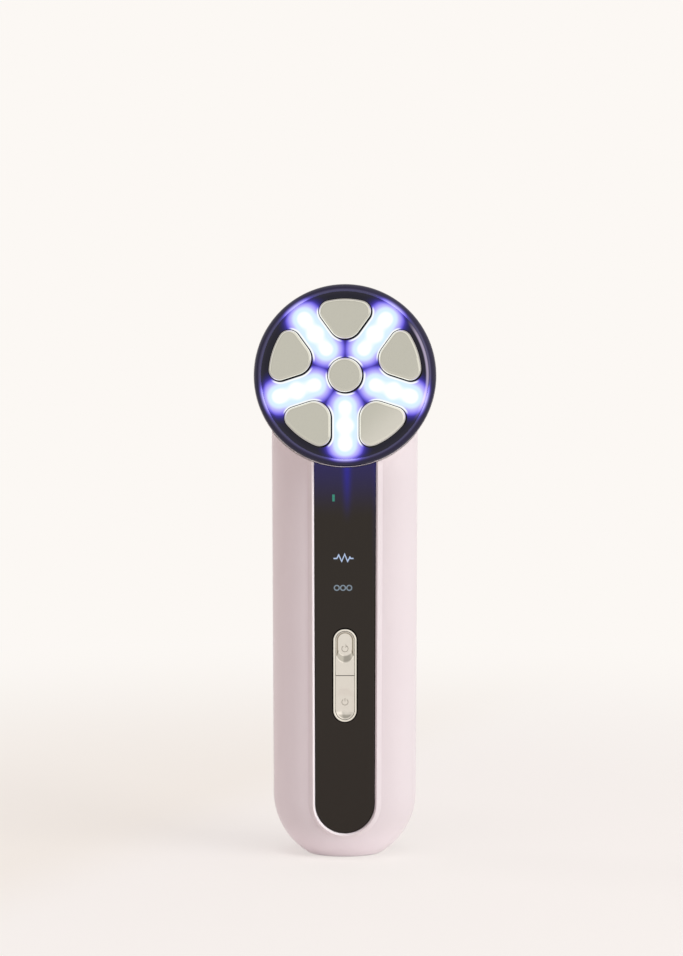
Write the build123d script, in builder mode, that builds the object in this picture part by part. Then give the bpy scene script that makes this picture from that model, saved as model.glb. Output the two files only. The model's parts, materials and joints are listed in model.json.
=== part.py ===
from build123d import *
import math
import os

# A hand-held facial toning device, in millimetres. A round-ended handle with a glossy control panel
# carries a round head with six metal electrodes and five rows of lights between them.
# +Z is up, the front faces -Y, and the origin is the centre of the flat base that it stands on.
# "Front" values are distances ahead of the handle's middle plane, "depth" values are measured inward
# from the crest of the head's ring, along the head's own axis.

# ---------------------------------------------------------------- driving dimensions: handle
low_radius = 22.1  # round lower end, seen from the front
base_cut = 3.0  # how much of the lower end is cut off flat, to stand on
top_radius = 22.55  # round upper end, behind the head
handle_depth = 27.0
side_flat = 1.0  # flat left down each side, between the roundings of the front and the back
base_round = 1.6
wall = 2.0
parting = 2.0  # parting plane of the two shells, behind the middle plane
lip_height = 1.2  # lip that locates one shell in the other
lip_gap = 0.12
seam_gap = 0.15  # between the front shell and the head
seam_groove = 0.2  # depth and width of the groove along the parting line
root = 0.5  # how far bosses and posts are sunk into the shell that carries them
cut_past = 1.0  # how far a cut runs past the wall it goes through

# raised track and panel
panel_end_height = 17.45
panel_end_radius = 9.05
panel_top_radius = 9.42
track_rise = 1.1
track_lip = 0.75
track_crest = 0.15  # flat on the lip, outside its bevelled mouth
# hollow slope of the track: out from the lip and down from the crest, at its waist and at its foot, and how
# much higher its lower end lies, where the handle's face falls away
track_waist = (0.75, 0.8, 0.3)
track_foot = (3.45, 2.0, 1.5)
panel_sink = 0.5  # panel face below the crest of the track
panel_thickness = 1.4
panel_bevel = 0.15
panel_gap = 0.15

# ---------------------------------------------------------------- driving dimensions: head
head_height = 149.3
head_front = 21.0
head_tilt = 5.0
head_radius = 27.6
rim_depth = 2.9
cup_straight = 6.1
dome_depth = 19.0
neck_round = 2.5
seal_thickness = 0.5
seal_inset = 0.6
bezel_step = 0.1  # the ring stands this far inside the cup's outer wall
bezel_skirt = 0.9
crest_inset = 1.2
crest_width = 0.55
crest_fall = 0.12  # drop of the crest towards the lens
bezel_lip = 0.12  # inner edge of the ring above the lens
spigot_gap = 0.15
spigot_length = 3.0
lens_depth = 1.0
lens_thickness = 1.0
lens_border = 2.3  # ring seen round the lens
lens_gap = 0.1
lens_ledge = 0.6
pad_rise = 1.1  # electrodes above the lens
pad_border = 2.25  # lens seen outside the electrodes
pad_side_gap = 4.3  # from the middle of a row of lights to the electrode beside it
pad_inner_round = 5.1
pad_outer_round = 3.3
pad_edge_round = 1.0
pad_gap = 0.22
pad_flange = 0.6
pad_flange_thickness = 0.8
centre_pad_radius = 5.2
rows = 5
leds_in_row = 3
led_inner_reach = 9.6
led_border = 4.4  # outermost light from the edge of the lens
led_size = 2.8
led_height = 0.8
led_dome_radius = 1.0
led_dome_height = 0.3
led_gap = 0.4  # between the lights and the diffuser
board_gap = 2.0  # round board from the cup's wall
board_thickness = 1.2
diffuser_width = 4.4
diffuser_hub_radius = 9.5
diffuser_bore_radius = 3.2
diffuser_thickness = 1.1
contact_border = 6.8  # contact stud from the outer edge of its electrode
contact_radius = 1.0
contact_tip_radius = 0.5
contact_stud = 0.8
head_screw_border = 2.7
head_screw_length = 6.0

# ---------------------------------------------------------------- driving dimensions: controls
pill_height = 57.2
pill_length = 28.6
pill_width = 7.15
trim_width = 0.65
trim_rise = 0.6
trim_round = 0.3
button_sink = 0.15
button_gap = 0.12
button_split = 0.2
button_flange = 0.7
button_flange_thickness = 0.8
button_play = 0.2  # flange below the shell
button_stub = 0.4  # from the flange to the switch's plunger
dish_length = 9.5
dish_rim = 0.15
dish_draft = 0.55
dish_ramp = 2.2  # long slope at the lower end of the upper button's dish
dish_sink = 1.0
scoop_sink = 0.6  # the lower button's dish is a smooth scoop instead
press_travel = 0.35
press_margin = 0.05  # left over at the end of the travel
switch_reach = 7.3  # each switch from the middle of the pill
switch_size = 5.2
switch_height = 1.5
switch_round = 0.5
switch_floor = 0.25
plunger_radius = 1.1
plunger_gap = 0.06

# marks that light up, across and up the panel
battery_mark = (-3.5, 111.6)
ems_mark = (-0.5, 93.3)
led_mark = (-0.5, 84.1)
battery_guide_size = (1.6, 3.0)
function_guide_size = (7.0, 3.0)
guide_gap = 0.1
guide_flange = 0.6
guide_flange_thickness = 0.9
mark_led_size = (1.6, 0.8)
mark_led_height = 0.6
mark_led_gap = 0.3

# ---------------------------------------------------------------- driving dimensions: inside the handle
battery_low = 50.0
battery_length = 48.0
battery_thickness = 8.0
battery_side = 8.5  # side of the battery from the side of the handle
battery_round = 2.0
battery_gap = 0.2
battery_pad_margin = 4.6
battery_pad_thickness = 1.1
tray_thickness = 1.2
tray_side = 4.8  # how far the tray's sides reach along the battery
tray_leg_radius = 1.5
tray_leg_spread = 11.0
tray_leg_inset = 4.0
tray_window = (11.0, 24.0)
rib_thickness = 1.2
rib_height = 4.0
lead_radius = 0.6
lead_spread = 1.6
lead_bend = 2.6
lead_rise = 7.0
main_board_half_width = 12.8
main_board_end_height = 18.5
main_board_margin = 4.4  # board above the battery's mark
board_neck_width = 9.6  # where the board narrows towards the charging port
board_neck_gap = 1.2
boss_spread = 6.2
boss_low_height = 30.0
boss_margin = 6.5  # upper bosses above the battery
boss_gap = 0.1
front_boss_radius = 2.9
rear_boss_radius = 2.5
screw_radius = 1.0
screw_head_radius = 1.9
screw_head_height = 1.3
screw_seat = 6.0  # front value of the shell screws' heads
screw_length = 13.0
screw_gap = 0.08
screw_tip_gap = 0.4
cross_length = 1.9
cross_width = 0.45
cross_depth = 0.6
post_spread = 10.2
post_low_height = 22.0
post_margin = 3.6  # upper posts below the board's upper edge
post_radius = 1.9
post_screw_radius = 0.8
post_screw_head_radius = 1.5
post_screw_head_height = 0.9
post_screw_length = 3.6
port_width = 8.94
port_height = 3.26
port_length = 7.35
port_round = 1.2
port_wall = 0.3
port_back = 0.6
port_recess = 0.3
port_gap = 0.2
tongue_width = 6.7
tongue_thickness = 0.7
tongue_length = 5.2
transformer_drop = 6.4  # below the battery
core_width = 10.0
core_height = 9.0
core_depth = 5.4
core_round = 0.8
coil_radius = 2.6
coil_overhang = 1.6
capacitor_spread = 9.6
capacitor_drop = 11.0
capacitor_radius = 2.4
capacitor_length = 6.0
capacitor_round = 0.5
chip_drop = 10.0  # below the battery's upper end
chip_size = 7.0
chip_thickness = 1.0
chip_corner = 0.5
ribbon_width = 8.0
ribbon_thickness = 0.3
ribbon_bend = 3.0
ribbon_lap = 6.0

# ---------------------------------------------------------------- planes and places worked out from them
tilt = math.radians(head_tilt)
head_origin = Vector(0, -head_front, head_height)
head_normal = Vector(0, -math.cos(tilt), math.sin(tilt))
head_axis = Axis(head_origin, head_normal)
head_face = Plane(origin=head_origin, x_dir=(1, 0, 0), z_dir=head_normal)
head_section = Plane(origin=head_origin, x_dir=(1, 0, 0), z_dir=(0, -math.sin(tilt), -math.cos(tilt)))
neck_height = head_height - head_front * math.tan(tilt)
base_drop = low_radius - base_cut
edge_round = (handle_depth - side_flat) / 2
row_pitch = 360 / rows
row_turns = [row_pitch * step for step in range(rows)]
first_row = 90 + row_pitch / 2
beyond = 2 * (head_height + head_radius)  # longer than the whole device

face_front = handle_depth / 2
crest_front = face_front + track_rise
panel_front = crest_front - panel_sink
pocket_front = panel_front - panel_thickness
inner_front = face_front - wall
inner_back = handle_depth / 2 - wall
trim_front = panel_front + trim_rise
button_front = trim_front - button_sink
flange_front = inner_front - button_play
flange_back = flange_front - button_flange_thickness
plunger_rise = press_travel + press_margin
plunger_front = flange_back - button_stub
switch_front = plunger_front - plunger_rise
main_board_front = switch_front - switch_height
plunger_length = plunger_front - main_board_front - switch_floor - press_travel - press_margin
board_back = main_board_front - board_thickness
mark_led_front = main_board_front + mark_led_height
port_middle = (0, port_height / 2 - board_back)

dome_start = rim_depth + cup_straight
cup_inner_radius = head_radius - wall
skirt_radius = head_radius - bezel_step
skirt_depth = rim_depth - seal_thickness
lens_radius = head_radius - lens_border
lens_back = lens_depth + lens_thickness
pad_reach = lens_radius - pad_border
flange_depth = lens_back + pad_flange_thickness
stud_depth = flange_depth + contact_stud
board_depth = flange_depth + diffuser_thickness + led_gap + led_dome_height + led_height
head_board_back = board_depth + board_thickness
board_radius = cup_inner_radius - board_gap
led_pitch = (lens_radius - led_border - led_inner_reach) / (leds_in_row - 1)
led_reaches = [led_inner_reach + led_pitch * step for step in range(leds_in_row)]
contact_reach = pad_reach - contact_border
head_screw_reach = board_radius - head_screw_border

battery_top = battery_low + battery_length
battery_middle = battery_low + battery_length / 2
battery_width = 2 * (min(low_radius, top_radius) - battery_side)
battery_back = inner_back - battery_pad_thickness
battery_face = battery_back - battery_thickness
main_board_top = battery_mark[1] + main_board_margin
screw_tip = screw_seat - screw_length
boss_heights = (boss_low_height, battery_top + boss_margin)
boss_places = [(x, z) for x in (-boss_spread, boss_spread) for z in boss_heights]
post_heights = (post_low_height, main_board_top - post_margin)
post_places = [(x, z) for x in (-post_spread, post_spread) for z in post_heights]


def across_head(reach, turn):
    """A place on the head at that reach from its axis, turned from its upright."""
    return (reach * math.sin(math.radians(turn)), reach * math.cos(math.radians(turn)))


head_screw_places = [across_head(head_screw_reach, turn) for turn in (0, row_pitch, -row_pitch)]
contact_places = [(0, 0)] + [across_head(contact_reach, turn) for turn in row_turns]


def front(distance):
    """The upright plane that far ahead of the handle's middle, drawn as seen from the front."""
    return Plane.XZ.offset(distance)


def in_head(depth, turn=0):
    """The plane across the head that far behind its crest, turned about the head's axis."""
    return Plane(head_face.location * Location((0, 0, -depth), (0, 0, turn)))


# ---------------------------------------------------------------- shared outlines and forms
def track_outline(margin, lift=0):
    """The panel's long round-ended outline, moved outward by margin, with its lower end lifted."""
    with BuildSketch() as outline:
        with Locations((0, panel_end_height + lift)):
            Circle(panel_end_radius + margin)
        with Locations((0, neck_height)):
            Circle(panel_top_radius + margin)
        make_hull()
    return outline.sketch


def pill_outline(margin):
    """The outline of the button frame, moved outward by margin."""
    with BuildSketch() as outline:
        with Locations((0, pill_height)):
            SlotOverall(pill_length + 2 * margin, pill_width + 2 * margin, rotation=90)
    return outline.sketch


def centre_outline(margin):
    """The round middle electrode, moved outward by margin."""
    with BuildSketch() as outline:
        Circle(centre_pad_radius + margin)
    return outline.sketch


def fan_outline(margin):
    """An outer electrode between two rows of lights, moved outward by margin."""
    half_pitch = math.radians(row_pitch / 2)
    apex = (pad_side_gap - margin) / math.sin(half_pitch)
    side = 2 * pad_reach
    with BuildSketch() as outline:
        Circle(pad_reach + margin)
        with BuildLine():
            Polyline(
                (0, apex),
                (side * math.sin(half_pitch), apex + side * math.cos(half_pitch)),
                (-side * math.sin(half_pitch), apex + side * math.cos(half_pitch)),
                close=True,
            )
        make_face(mode=Mode.INTERSECT)
        fillet(outline.vertices().sort_by(Axis.Y)[0], pad_inner_round + margin)
        fillet(outline.vertices().sort_by(Axis.Y)[-2:], pad_outer_round + margin)
    return outline.sketch


def handle_form(inset):
    """The whole handle as a solid, moved inward by inset and cut flat at the base."""
    with BuildPart() as form:
        with BuildSketch(Plane.XZ):
            with Locations((0, base_drop)):
                Circle(low_radius - inset)
            with Locations((0, neck_height)):
                Circle(top_radius - inset)
            make_hull()
        extrude(amount=handle_depth / 2 - inset, both=True)
        rims = form.edges().group_by(Axis.Y)
        fillet(rims[0] + rims[-1], edge_round - inset)
        split(bisect_by=Plane.XY.offset(inset), keep=Keep.TOP)
    return form.part


def head_form(inset, start):
    """The head's cup as a solid, moved inward by inset, from the given depth to its domed back."""
    radius = head_radius - inset
    bulge = dome_depth - inset
    with BuildPart() as form:
        with BuildSketch(head_section):
            with BuildLine():
                Polyline((0, -dome_start - bulge), (0, -start), (radius, -start), (radius, -dome_start))
                EllipticalCenterArc((0, -dome_start), radius, bulge, start_angle=270, arc_size=90)
            make_face()
        revolve(axis=head_axis)
    return form.part


def head_cylinder(radius):
    """A long cylinder on the head's axis, which parts the front shell from the head."""
    with BuildPart() as cylinder:
        with BuildSketch(in_head(-head_radius)):
            Circle(radius)
        extrude(amount=-4 * head_radius)
    return cylinder.part


def slab(from_front, to_front):
    """Everything between two upright planes."""
    with BuildPart() as block:
        with BuildSketch(front(from_front)):
            Rectangle(beyond, beyond)
        extrude(amount=to_front - from_front)
    return block.part


with BuildPart() as front_space:
    add(slab(-parting, beyond))
    add(head_cylinder(head_radius), mode=Mode.SUBTRACT)

with BuildPart() as inner_form:
    add(handle_form(wall))
    add(head_form(wall, -rim_depth))

with BuildPart() as middle_form:
    add(handle_form(wall / 2))
    add(head_form(wall / 2, rim_depth + wall))

with BuildPart() as outer_form:
    add(handle_form(0))
    add(head_form(0, rim_depth))
    # soft blend all round the line where the domed cup meets the handle
    curved = outer_form.edges().filter_by(GeomType.BSPLINE)
    fillet([edge for edge in curved if edge.center().Z > base_drop], neck_round)

# lip of the front shell and the rebate for it in the rear shell's rim
with BuildPart() as lip:
    add(handle_form(wall / 2 + lip_gap))
    add(handle_form(wall), mode=Mode.SUBTRACT)
    add(slab(-parting, -parting - lip_height), mode=Mode.INTERSECT)

with BuildPart() as rebate:
    add(handle_form(wall / 2))
    add(handle_form(wall), mode=Mode.SUBTRACT)
    add(slab(-parting, -parting - lip_height - lip_gap), mode=Mode.INTERSECT)
    add(head_cylinder(head_radius), mode=Mode.SUBTRACT)

# groove all round the handle where the two shells meet, above the rounding of the base
with BuildPart() as seam:
    add(handle_form(0))
    add(handle_form(seam_groove), mode=Mode.SUBTRACT)
    add(slab(seam_groove / 2 - parting, -seam_groove / 2 - parting), mode=Mode.INTERSECT)
    split(bisect_by=Plane.XY.offset(base_round), keep=Keep.TOP)
    add(head_cylinder(head_radius), mode=Mode.SUBTRACT)

# screw bosses, ribs at both ends of the battery and the long bosses of the head, all within the wall
with BuildPart() as carriers:
    with BuildSketch(front(-parting)):
        with Locations(*boss_places):
            Circle(rear_boss_radius)
    extrude(amount=-inner_back)
    with BuildSketch(front(rib_height - inner_back)):
        with Locations(
            (0, battery_low - battery_gap - rib_thickness / 2),
            (0, battery_top + battery_gap + rib_thickness / 2),
        ):
            Rectangle(beyond, rib_thickness)
    extrude(amount=-inner_back)
    with BuildSketch(in_head(head_board_back)):
        with Locations(*head_screw_places):
            Circle(rear_boss_radius)
    extrude(amount=-beyond)
    add(middle_form.part, mode=Mode.INTERSECT)

os.makedirs("parts", exist_ok=True)

# ---------------------------------------------------------------- shells
with BuildPart() as front_housing:
    add(handle_form(0))
    add(slab(-parting, -beyond), mode=Mode.SUBTRACT)
    fillet(front_housing.edges().group_by(Axis.Z)[0].filter_by(Plane.XZ, reverse=True), base_round)
    add(seam.part, mode=Mode.SUBTRACT)
    # raised track, whose hollow slope starts inside the rounding of the handle's edge
    for out, drop, lift in (track_foot, track_waist):
        with BuildSketch(front(crest_front - drop)):
            add(track_outline(track_lip + out, lift))
    with BuildSketch(front(crest_front)):
        add(track_outline(track_lip))
    loft()
    # bevelled mouth and pocket of the panel
    with BuildSketch(front(crest_front)):
        add(track_outline(track_lip - track_crest))
    with BuildSketch(front(panel_front)):
        add(track_outline(panel_gap))
    loft(mode=Mode.SUBTRACT)
    with BuildSketch(front(panel_front)):
        add(track_outline(panel_gap))
    extrude(amount=pocket_front - panel_front, mode=Mode.SUBTRACT)
    add(inner_form.part, mode=Mode.SUBTRACT)
    # screw bosses down to the parting plane and posts for the main board
    with BuildSketch(front(pocket_front - root)):
        with Locations(*boss_places):
            Circle(front_boss_radius)
    extrude(amount=root - pocket_front - parting)
    with BuildSketch(front(pocket_front - root)):
        with Locations(*post_places):
            Circle(post_radius)
    extrude(amount=main_board_front + root - pocket_front)
    add(lip.part)
    add(head_cylinder(head_radius + seam_gap), mode=Mode.SUBTRACT)
    # openings
    with BuildSketch(front(crest_front)):
        add(pill_outline(-trim_width))
        with Locations(battery_mark):
            Rectangle(battery_guide_size[0] + 2 * guide_gap, battery_guide_size[1] + 2 * guide_gap)
        with Locations(ems_mark, led_mark):
            Rectangle(function_guide_size[0] + 2 * guide_gap, function_guide_size[1] + 2 * guide_gap)
    extrude(amount=inner_front - crest_front - cut_past, mode=Mode.SUBTRACT)
    with BuildSketch(front(crest_front)):
        with Locations(*boss_places):
            Circle(screw_head_radius + screw_gap)
    extrude(amount=screw_seat - crest_front, mode=Mode.SUBTRACT)
    with BuildSketch(front(crest_front)):
        with Locations(*boss_places):
            Circle(screw_radius + screw_gap)
    extrude(amount=-parting - crest_front - cut_past, mode=Mode.SUBTRACT)
    with BuildSketch(front(main_board_front)):
        with Locations(*post_places):
            Circle(post_screw_radius + screw_gap)
    extrude(amount=post_screw_length - board_thickness + screw_tip_gap, mode=Mode.SUBTRACT)
    with BuildSketch(Plane.XY):
        with Locations(port_middle):
            RectangleRounded(port_width + 2 * port_gap, port_height + 2 * port_gap, port_round + port_gap)
    extrude(amount=wall + cut_past, mode=Mode.SUBTRACT)
front_housing.part.label = "front_housing"
export_step(front_housing.part, "parts/front_housing.step")

with BuildPart() as rear_housing:
    add(outer_form.part)
    add(front_space.part, mode=Mode.SUBTRACT)
    fillet(rear_housing.edges().group_by(Axis.Z)[0].filter_by(Plane.XZ, reverse=True), base_round)
    add(seam.part, mode=Mode.SUBTRACT)
    add(inner_form.part, mode=Mode.SUBTRACT)
    add(rebate.part, mode=Mode.SUBTRACT)
    add(carriers.part)
    with BuildSketch(front(-parting)):
        with Locations(*boss_places):
            Circle(screw_radius + screw_gap)
    extrude(amount=screw_tip - screw_tip_gap + parting, mode=Mode.SUBTRACT)
    with BuildSketch(in_head(head_board_back)):
        with Locations(*head_screw_places):
            Circle(screw_radius + screw_gap)
    extrude(amount=board_thickness - head_screw_length - screw_tip_gap, mode=Mode.SUBTRACT)
rear_housing.part.label = "rear_housing"
export_step(rear_housing.part, "parts/rear_housing.step")

# ---------------------------------------------------------------- panel and its marks
with BuildPart() as front_panel:
    with BuildSketch(front(pocket_front)):
        add(track_outline(0))
        add(pill_outline(panel_gap), mode=Mode.SUBTRACT)
    extrude(amount=panel_thickness)
    chamfer(front_panel.faces().sort_by(Axis.Y)[0].outer_wire().edges(), panel_bevel)
    add(head_cylinder(head_radius + seam_gap), mode=Mode.SUBTRACT)
front_panel.part.label = "front_panel"
export_step(front_panel.part, "parts/front_panel.step")

for guide_name, mark, guide_size in (
    ("battery_light_guide", battery_mark, battery_guide_size),
    ("ems_light_guide", ems_mark, function_guide_size),
    ("led_light_guide", led_mark, function_guide_size),
):
    with BuildPart() as light_guide:
        with BuildSketch(front(pocket_front)):
            with Locations(mark):
                Rectangle(guide_size[0], guide_size[1])
        extrude(amount=mark_led_front + mark_led_gap - pocket_front)
        with BuildSketch(front(inner_front)):
            with Locations(mark):
                Rectangle(guide_size[0] + 2 * guide_flange, guide_size[1] + 2 * guide_flange)
        extrude(amount=-guide_flange_thickness)
    light_guide.part.label = guide_name
    export_step(light_guide.part, f"parts/{guide_name}.step")

# ---------------------------------------------------------------- buttons, their frame and switches
with BuildPart() as button_trim:
    with BuildSketch(front(pocket_front)):
        add(pill_outline(0))
        add(pill_outline(-trim_width), mode=Mode.SUBTRACT)
    extrude(amount=trim_front - pocket_front)
    fillet(button_trim.faces().sort_by(Axis.Y)[0].edges(), trim_round)
button_trim.part.label = "button_trim"
export_step(button_trim.part, "parts/button_trim.step")

# finger dishes: a pocket with steep sides in the upper button and a smooth scoop in the lower one
dish_width = pill_width - 2 * (trim_width + button_gap + dish_rim)
dish_reach = pill_length / 2 - trim_width - button_gap - dish_rim - dish_length / 2
scoop_radius = (dish_width**2 / 4 + scoop_sink**2) / (2 * scoop_sink)
scoop_front = button_front - scoop_sink + scoop_radius
scoop_half = (dish_length - dish_width) / 2

with BuildPart() as pocket:
    with BuildSketch(front(button_front)):
        with Locations((0, pill_height + dish_reach)):
            SlotOverall(dish_length, dish_width, rotation=90)
    with BuildSketch(front(button_front - dish_sink)):
        with Locations((0, pill_height + dish_reach + (dish_ramp - dish_draft) / 2)):
            SlotOverall(dish_length - dish_draft - dish_ramp, dish_width - 2 * dish_draft, rotation=90)
    loft()

with BuildPart() as scoop:
    with BuildSketch(Plane.XY.offset(pill_height - dish_reach - scoop_half)):
        with Locations((0, -scoop_front)):
            Circle(scoop_radius)
    extrude(amount=2 * scoop_half)
    with Locations(
        (0, -scoop_front, pill_height - dish_reach - scoop_half),
        (0, -scoop_front, pill_height - dish_reach + scoop_half),
    ):
        Sphere(scoop_radius)

dishes = {"mode": pocket, "power": scoop}

for control, side in (("mode", 1), ("power", -1)):
    switch_middle = pill_height + side * switch_reach
    half_middle = pill_height + side * (pill_length + button_split) / 2
    with BuildPart() as button:
        with BuildSketch(front(button_front)):
            add(pill_outline(-trim_width - button_gap))
        extrude(amount=flange_back - button_front)
        with BuildSketch(front(flange_front)):
            add(pill_outline(button_flange - trim_width))
        extrude(amount=-button_flange_thickness)
        # the other half of the pill belongs to the other button
        with BuildSketch(front(flange_back)):
            with Locations((0, half_middle)):
                Rectangle(2 * pill_width, pill_length)
        extrude(amount=button_front - flange_back, mode=Mode.INTERSECT)
        add(dishes[control].part, mode=Mode.SUBTRACT)
        with BuildSketch(front(flange_back)):
            with Locations((0, switch_middle)):
                Circle(plunger_radius)
        extrude(amount=-button_stub)
    button.part.label = f"{control}_button"
    export_step(button.part, f"parts/{control}_button.step")

    with BuildPart() as switch:
        with BuildSketch(front(main_board_front)):
            with Locations((0, switch_middle)):
                RectangleRounded(switch_size, switch_size, switch_round)
        extrude(amount=switch_height)
        with BuildSketch(front(switch_front)):
            with Locations((0, switch_middle)):
                Circle(plunger_radius + plunger_gap)
        extrude(amount=switch_floor - switch_height, mode=Mode.SUBTRACT)
    switch.part.label = f"{control}_switch"
    export_step(switch.part, f"parts/{control}_switch.step")

    with BuildPart() as plunger:
        with BuildSketch(front(plunger_front)):
            with Locations((0, switch_middle)):
                Circle(plunger_radius)
        extrude(amount=-plunger_length)
        chamfer(plunger.faces().sort_by(Axis.Y)[-1].edges(), plunger_gap)
    plunger.part.label = f"{control}_plunger"
    export_step(plunger.part, f"parts/{control}_plunger.step")

# ---------------------------------------------------------------- head: ring, lens and electrodes
with BuildPart() as head_bezel:
    crest_radius = skirt_radius - crest_inset
    spigot_radius = cup_inner_radius - spigot_gap
    pocket_radius = lens_radius + lens_gap
    ledge_radius = lens_radius - lens_ledge
    with BuildSketch(head_section):
        with BuildLine():
            # the shoulder rises from the skirt and turns over into the crest
            TangentArc((skirt_radius, bezel_skirt - skirt_depth), (crest_radius, 0), tangent=(0, 1))
            Polyline(
                (crest_radius, 0),
                (crest_radius - crest_width, -crest_fall),
                (pocket_radius, bezel_lip - lens_depth),
                (pocket_radius, -lens_back),
                (ledge_radius, -lens_back),
                (ledge_radius, -skirt_depth - spigot_length),
                (spigot_radius, -skirt_depth - spigot_length),
                (spigot_radius, -skirt_depth),
                (skirt_radius, -skirt_depth),
                (skirt_radius, bezel_skirt - skirt_depth),
            )
        make_face()
    revolve(axis=head_axis)
head_bezel.part.label = "head_bezel"
export_step(head_bezel.part, "parts/head_bezel.step")

with BuildPart() as head_seal:
    with BuildSketch(in_head(skirt_depth)):
        Circle(skirt_radius - seal_inset)
        Circle(cup_inner_radius, mode=Mode.SUBTRACT)
    extrude(amount=-seal_thickness)
head_seal.part.label = "head_seal"
export_step(head_seal.part, "parts/head_seal.step")

with BuildPart() as head_lens:
    with BuildSketch(in_head(lens_depth)):
        Circle(lens_radius)
        add(centre_outline(pad_gap), mode=Mode.SUBTRACT)
        with PolarLocations(0, rows):
            add(fan_outline(pad_gap), mode=Mode.SUBTRACT)
    extrude(amount=-lens_thickness)
head_lens.part.label = "head_lens"
export_step(head_lens.part, "parts/head_lens.step")

pads = [("centre_electrode", centre_outline, 0, 0)]
for number, turn in enumerate(row_turns, start=1):
    pads.append((f"outer_electrode_{number}", fan_outline, turn, contact_reach))
for pad_name, outline, turn, stud_reach in pads:
    with BuildPart() as electrode:
        with BuildSketch(in_head(lens_depth - pad_rise, turn)):
            add(outline(0))
        extrude(amount=-(pad_rise + lens_thickness))
        fillet(electrode.faces().sort_by(head_axis)[-1].edges(), pad_edge_round)
        with BuildSketch(in_head(lens_back, turn)):
            add(outline(pad_flange))
        extrude(amount=-pad_flange_thickness)
        with BuildSketch(in_head(flange_depth, turn)):
            with Locations((0, stud_reach)):
                Circle(contact_radius)
        extrude(amount=-contact_stud)
    electrode.part.label = pad_name
    export_step(electrode.part, f"parts/{pad_name}.step")

# ---------------------------------------------------------------- head: lights, board and contacts
with BuildPart() as head_diffuser:
    with BuildSketch(in_head(flange_depth)):
        Circle(diffuser_hub_radius)
        with PolarLocations(board_radius / 2, rows, start_angle=first_row):
            SlotOverall(board_radius, diffuser_width)
        Circle(diffuser_bore_radius, mode=Mode.SUBTRACT)
    extrude(amount=-diffuser_thickness)
head_diffuser.part.label = "head_diffuser"
export_step(head_diffuser.part, "parts/head_diffuser.step")

with BuildPart() as head_leds:
    for reach in led_reaches:
        with BuildSketch(in_head(board_depth)):
            with PolarLocations(reach, rows, start_angle=first_row):
                Rectangle(led_size, led_size)
        extrude(amount=led_height)
        with BuildSketch(in_head(board_depth - led_height)):
            with PolarLocations(reach, rows, start_angle=first_row):
                Circle(led_dome_radius)
        extrude(amount=led_dome_height)
head_leds.part.label = "head_leds"
export_step(head_leds.part, "parts/head_leds.step")

with BuildPart() as led_board:
    with BuildSketch(in_head(board_depth)):
        Circle(board_radius)
        with Locations(*head_screw_places):
            Circle(screw_radius + screw_gap, mode=Mode.SUBTRACT)
    extrude(amount=-board_thickness)
led_board.part.label = "led_board"
export_step(led_board.part, "parts/led_board.step")

with BuildPart() as contact_pins:
    with BuildSketch(in_head(board_depth)):
        with Locations(*contact_places):
            Circle(contact_radius)
    extrude(amount=(board_depth - stud_depth) / 2)
    with BuildSketch(in_head(board_depth)):
        with Locations(*contact_places):
            Circle(contact_tip_radius)
    extrude(amount=board_depth - stud_depth)
contact_pins.part.label = "contact_pins"
export_step(contact_pins.part, "parts/contact_pins.step")

with BuildPart() as ribbon_cable:
    lap_depth = head_board_back + ribbon_thickness / 2
    lap_low = head_face.from_local_coords((0, ribbon_lap - board_radius, -lap_depth))
    lap_high = head_face.from_local_coords((0, 2 * ribbon_lap - board_radius, -lap_depth))
    ribbon_front = board_back - ribbon_thickness / 2
    with BuildSketch(Plane.YZ):
        with BuildLine():
            FilletPolyline(
                (-ribbon_front, main_board_top - ribbon_lap),
                (-ribbon_front, main_board_top + ribbon_lap),
                (lap_low.Y, lap_low.Z),
                (lap_high.Y, lap_high.Z),
                radius=ribbon_bend,
            )
        trace(line_width=ribbon_thickness)
    extrude(amount=ribbon_width / 2, both=True)
ribbon_cable.part.label = "ribbon_cable"
export_step(ribbon_cable.part, "parts/ribbon_cable.step")

# ---------------------------------------------------------------- main board and what it carries
with BuildPart() as main_board:
    neck_low = wall + board_neck_gap
    with BuildSketch(front(board_back)):
        with Locations((0, main_board_end_height)):
            Circle(main_board_half_width)
        with Locations((0, (main_board_end_height + main_board_top) / 2)):
            Rectangle(2 * main_board_half_width, main_board_top - main_board_end_height)
        with Locations((0, (main_board_end_height + neck_low) / 2)):
            Rectangle(board_neck_width, main_board_end_height - neck_low)
        with Locations(*boss_places):
            Circle(front_boss_radius + boss_gap, mode=Mode.SUBTRACT)
        with Locations(*post_places):
            Circle(post_screw_radius + screw_gap, mode=Mode.SUBTRACT)
    extrude(amount=board_thickness)
main_board.part.label = "main_board"
export_step(main_board.part, "parts/main_board.step")

with BuildPart() as indicator_leds:
    with BuildSketch(front(main_board_front)):
        with Locations(battery_mark, ems_mark, led_mark):
            Rectangle(mark_led_size[0], mark_led_size[1])
    extrude(amount=mark_led_height)
indicator_leds.part.label = "indicator_leds"
export_step(indicator_leds.part, "parts/indicator_leds.step")

with BuildPart() as controller_chip:
    with BuildSketch(front(board_back)):
        with Locations((0, battery_top - chip_drop)):
            Rectangle(chip_size, chip_size)
    extrude(amount=-chip_thickness)
    chamfer(controller_chip.edges().filter_by(Axis.Y), chip_corner)
controller_chip.part.label = "controller_chip"
export_step(controller_chip.part, "parts/controller_chip.step")

with BuildPart() as transformer:
    transformer_height = battery_low - transformer_drop
    with BuildSketch(front(board_back)):
        with Locations((0, transformer_height)):
            RectangleRounded(core_width, core_height, core_round)
    extrude(amount=-core_depth)
    with BuildSketch(Plane.XY.offset(transformer_height)):
        with Locations((0, core_depth / 2 - board_back)):
            Circle(coil_radius)
    extrude(amount=core_height / 2 + coil_overhang, both=True)
transformer.part.label = "transformer"
export_step(transformer.part, "parts/transformer.step")

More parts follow.
